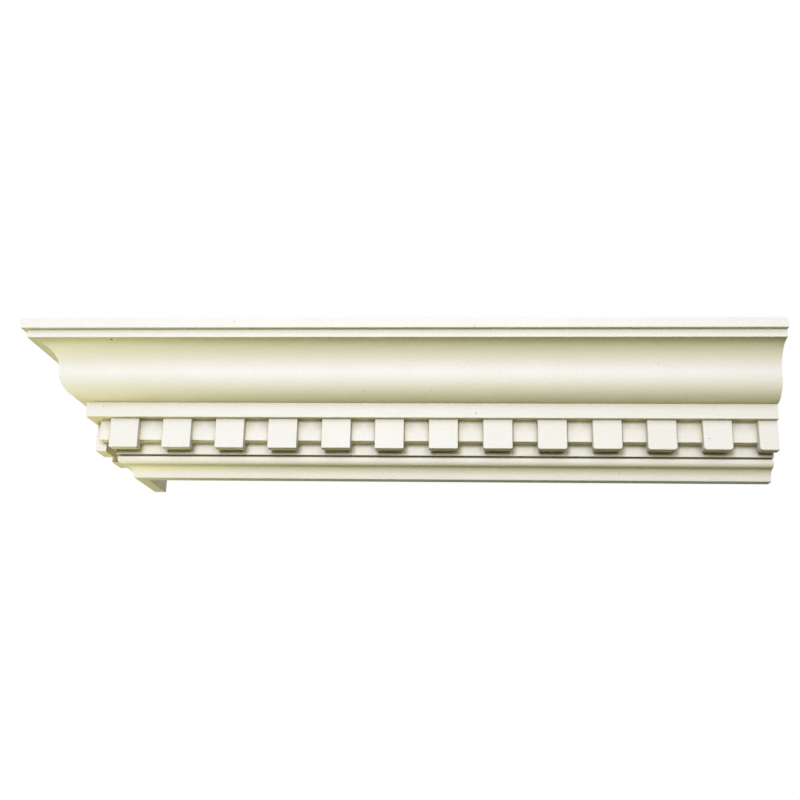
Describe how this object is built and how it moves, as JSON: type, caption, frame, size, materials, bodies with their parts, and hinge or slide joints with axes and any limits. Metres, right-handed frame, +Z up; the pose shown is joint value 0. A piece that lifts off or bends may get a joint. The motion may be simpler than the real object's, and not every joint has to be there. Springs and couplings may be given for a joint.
{
  "type": "dentil cornice moulding with an external corner",
  "caption": "Primed rigid-foam dentil cornice with cove and ovolo, mitred to a short return round an external wall corner, bedded on wall and ceiling.",
  "frame": {"origin": "centre of the front length's wall land, the flat strip on its back that is glued to the wall", "axes": "+X along the front length away from the corner, +Y into the front wall, +Z up towards the ceiling"},
  "size_m": [0.742, 0.1738, 0.14],
  "materials": {
    "primed_foam": "ivory factory primer, eggshell, on moulded rigid polyurethane foam"
  },
  "bodies": {
    "root": {"front_length": "primed_foam", "return_length": "primed_foam"}
  },
  "joints": []
}
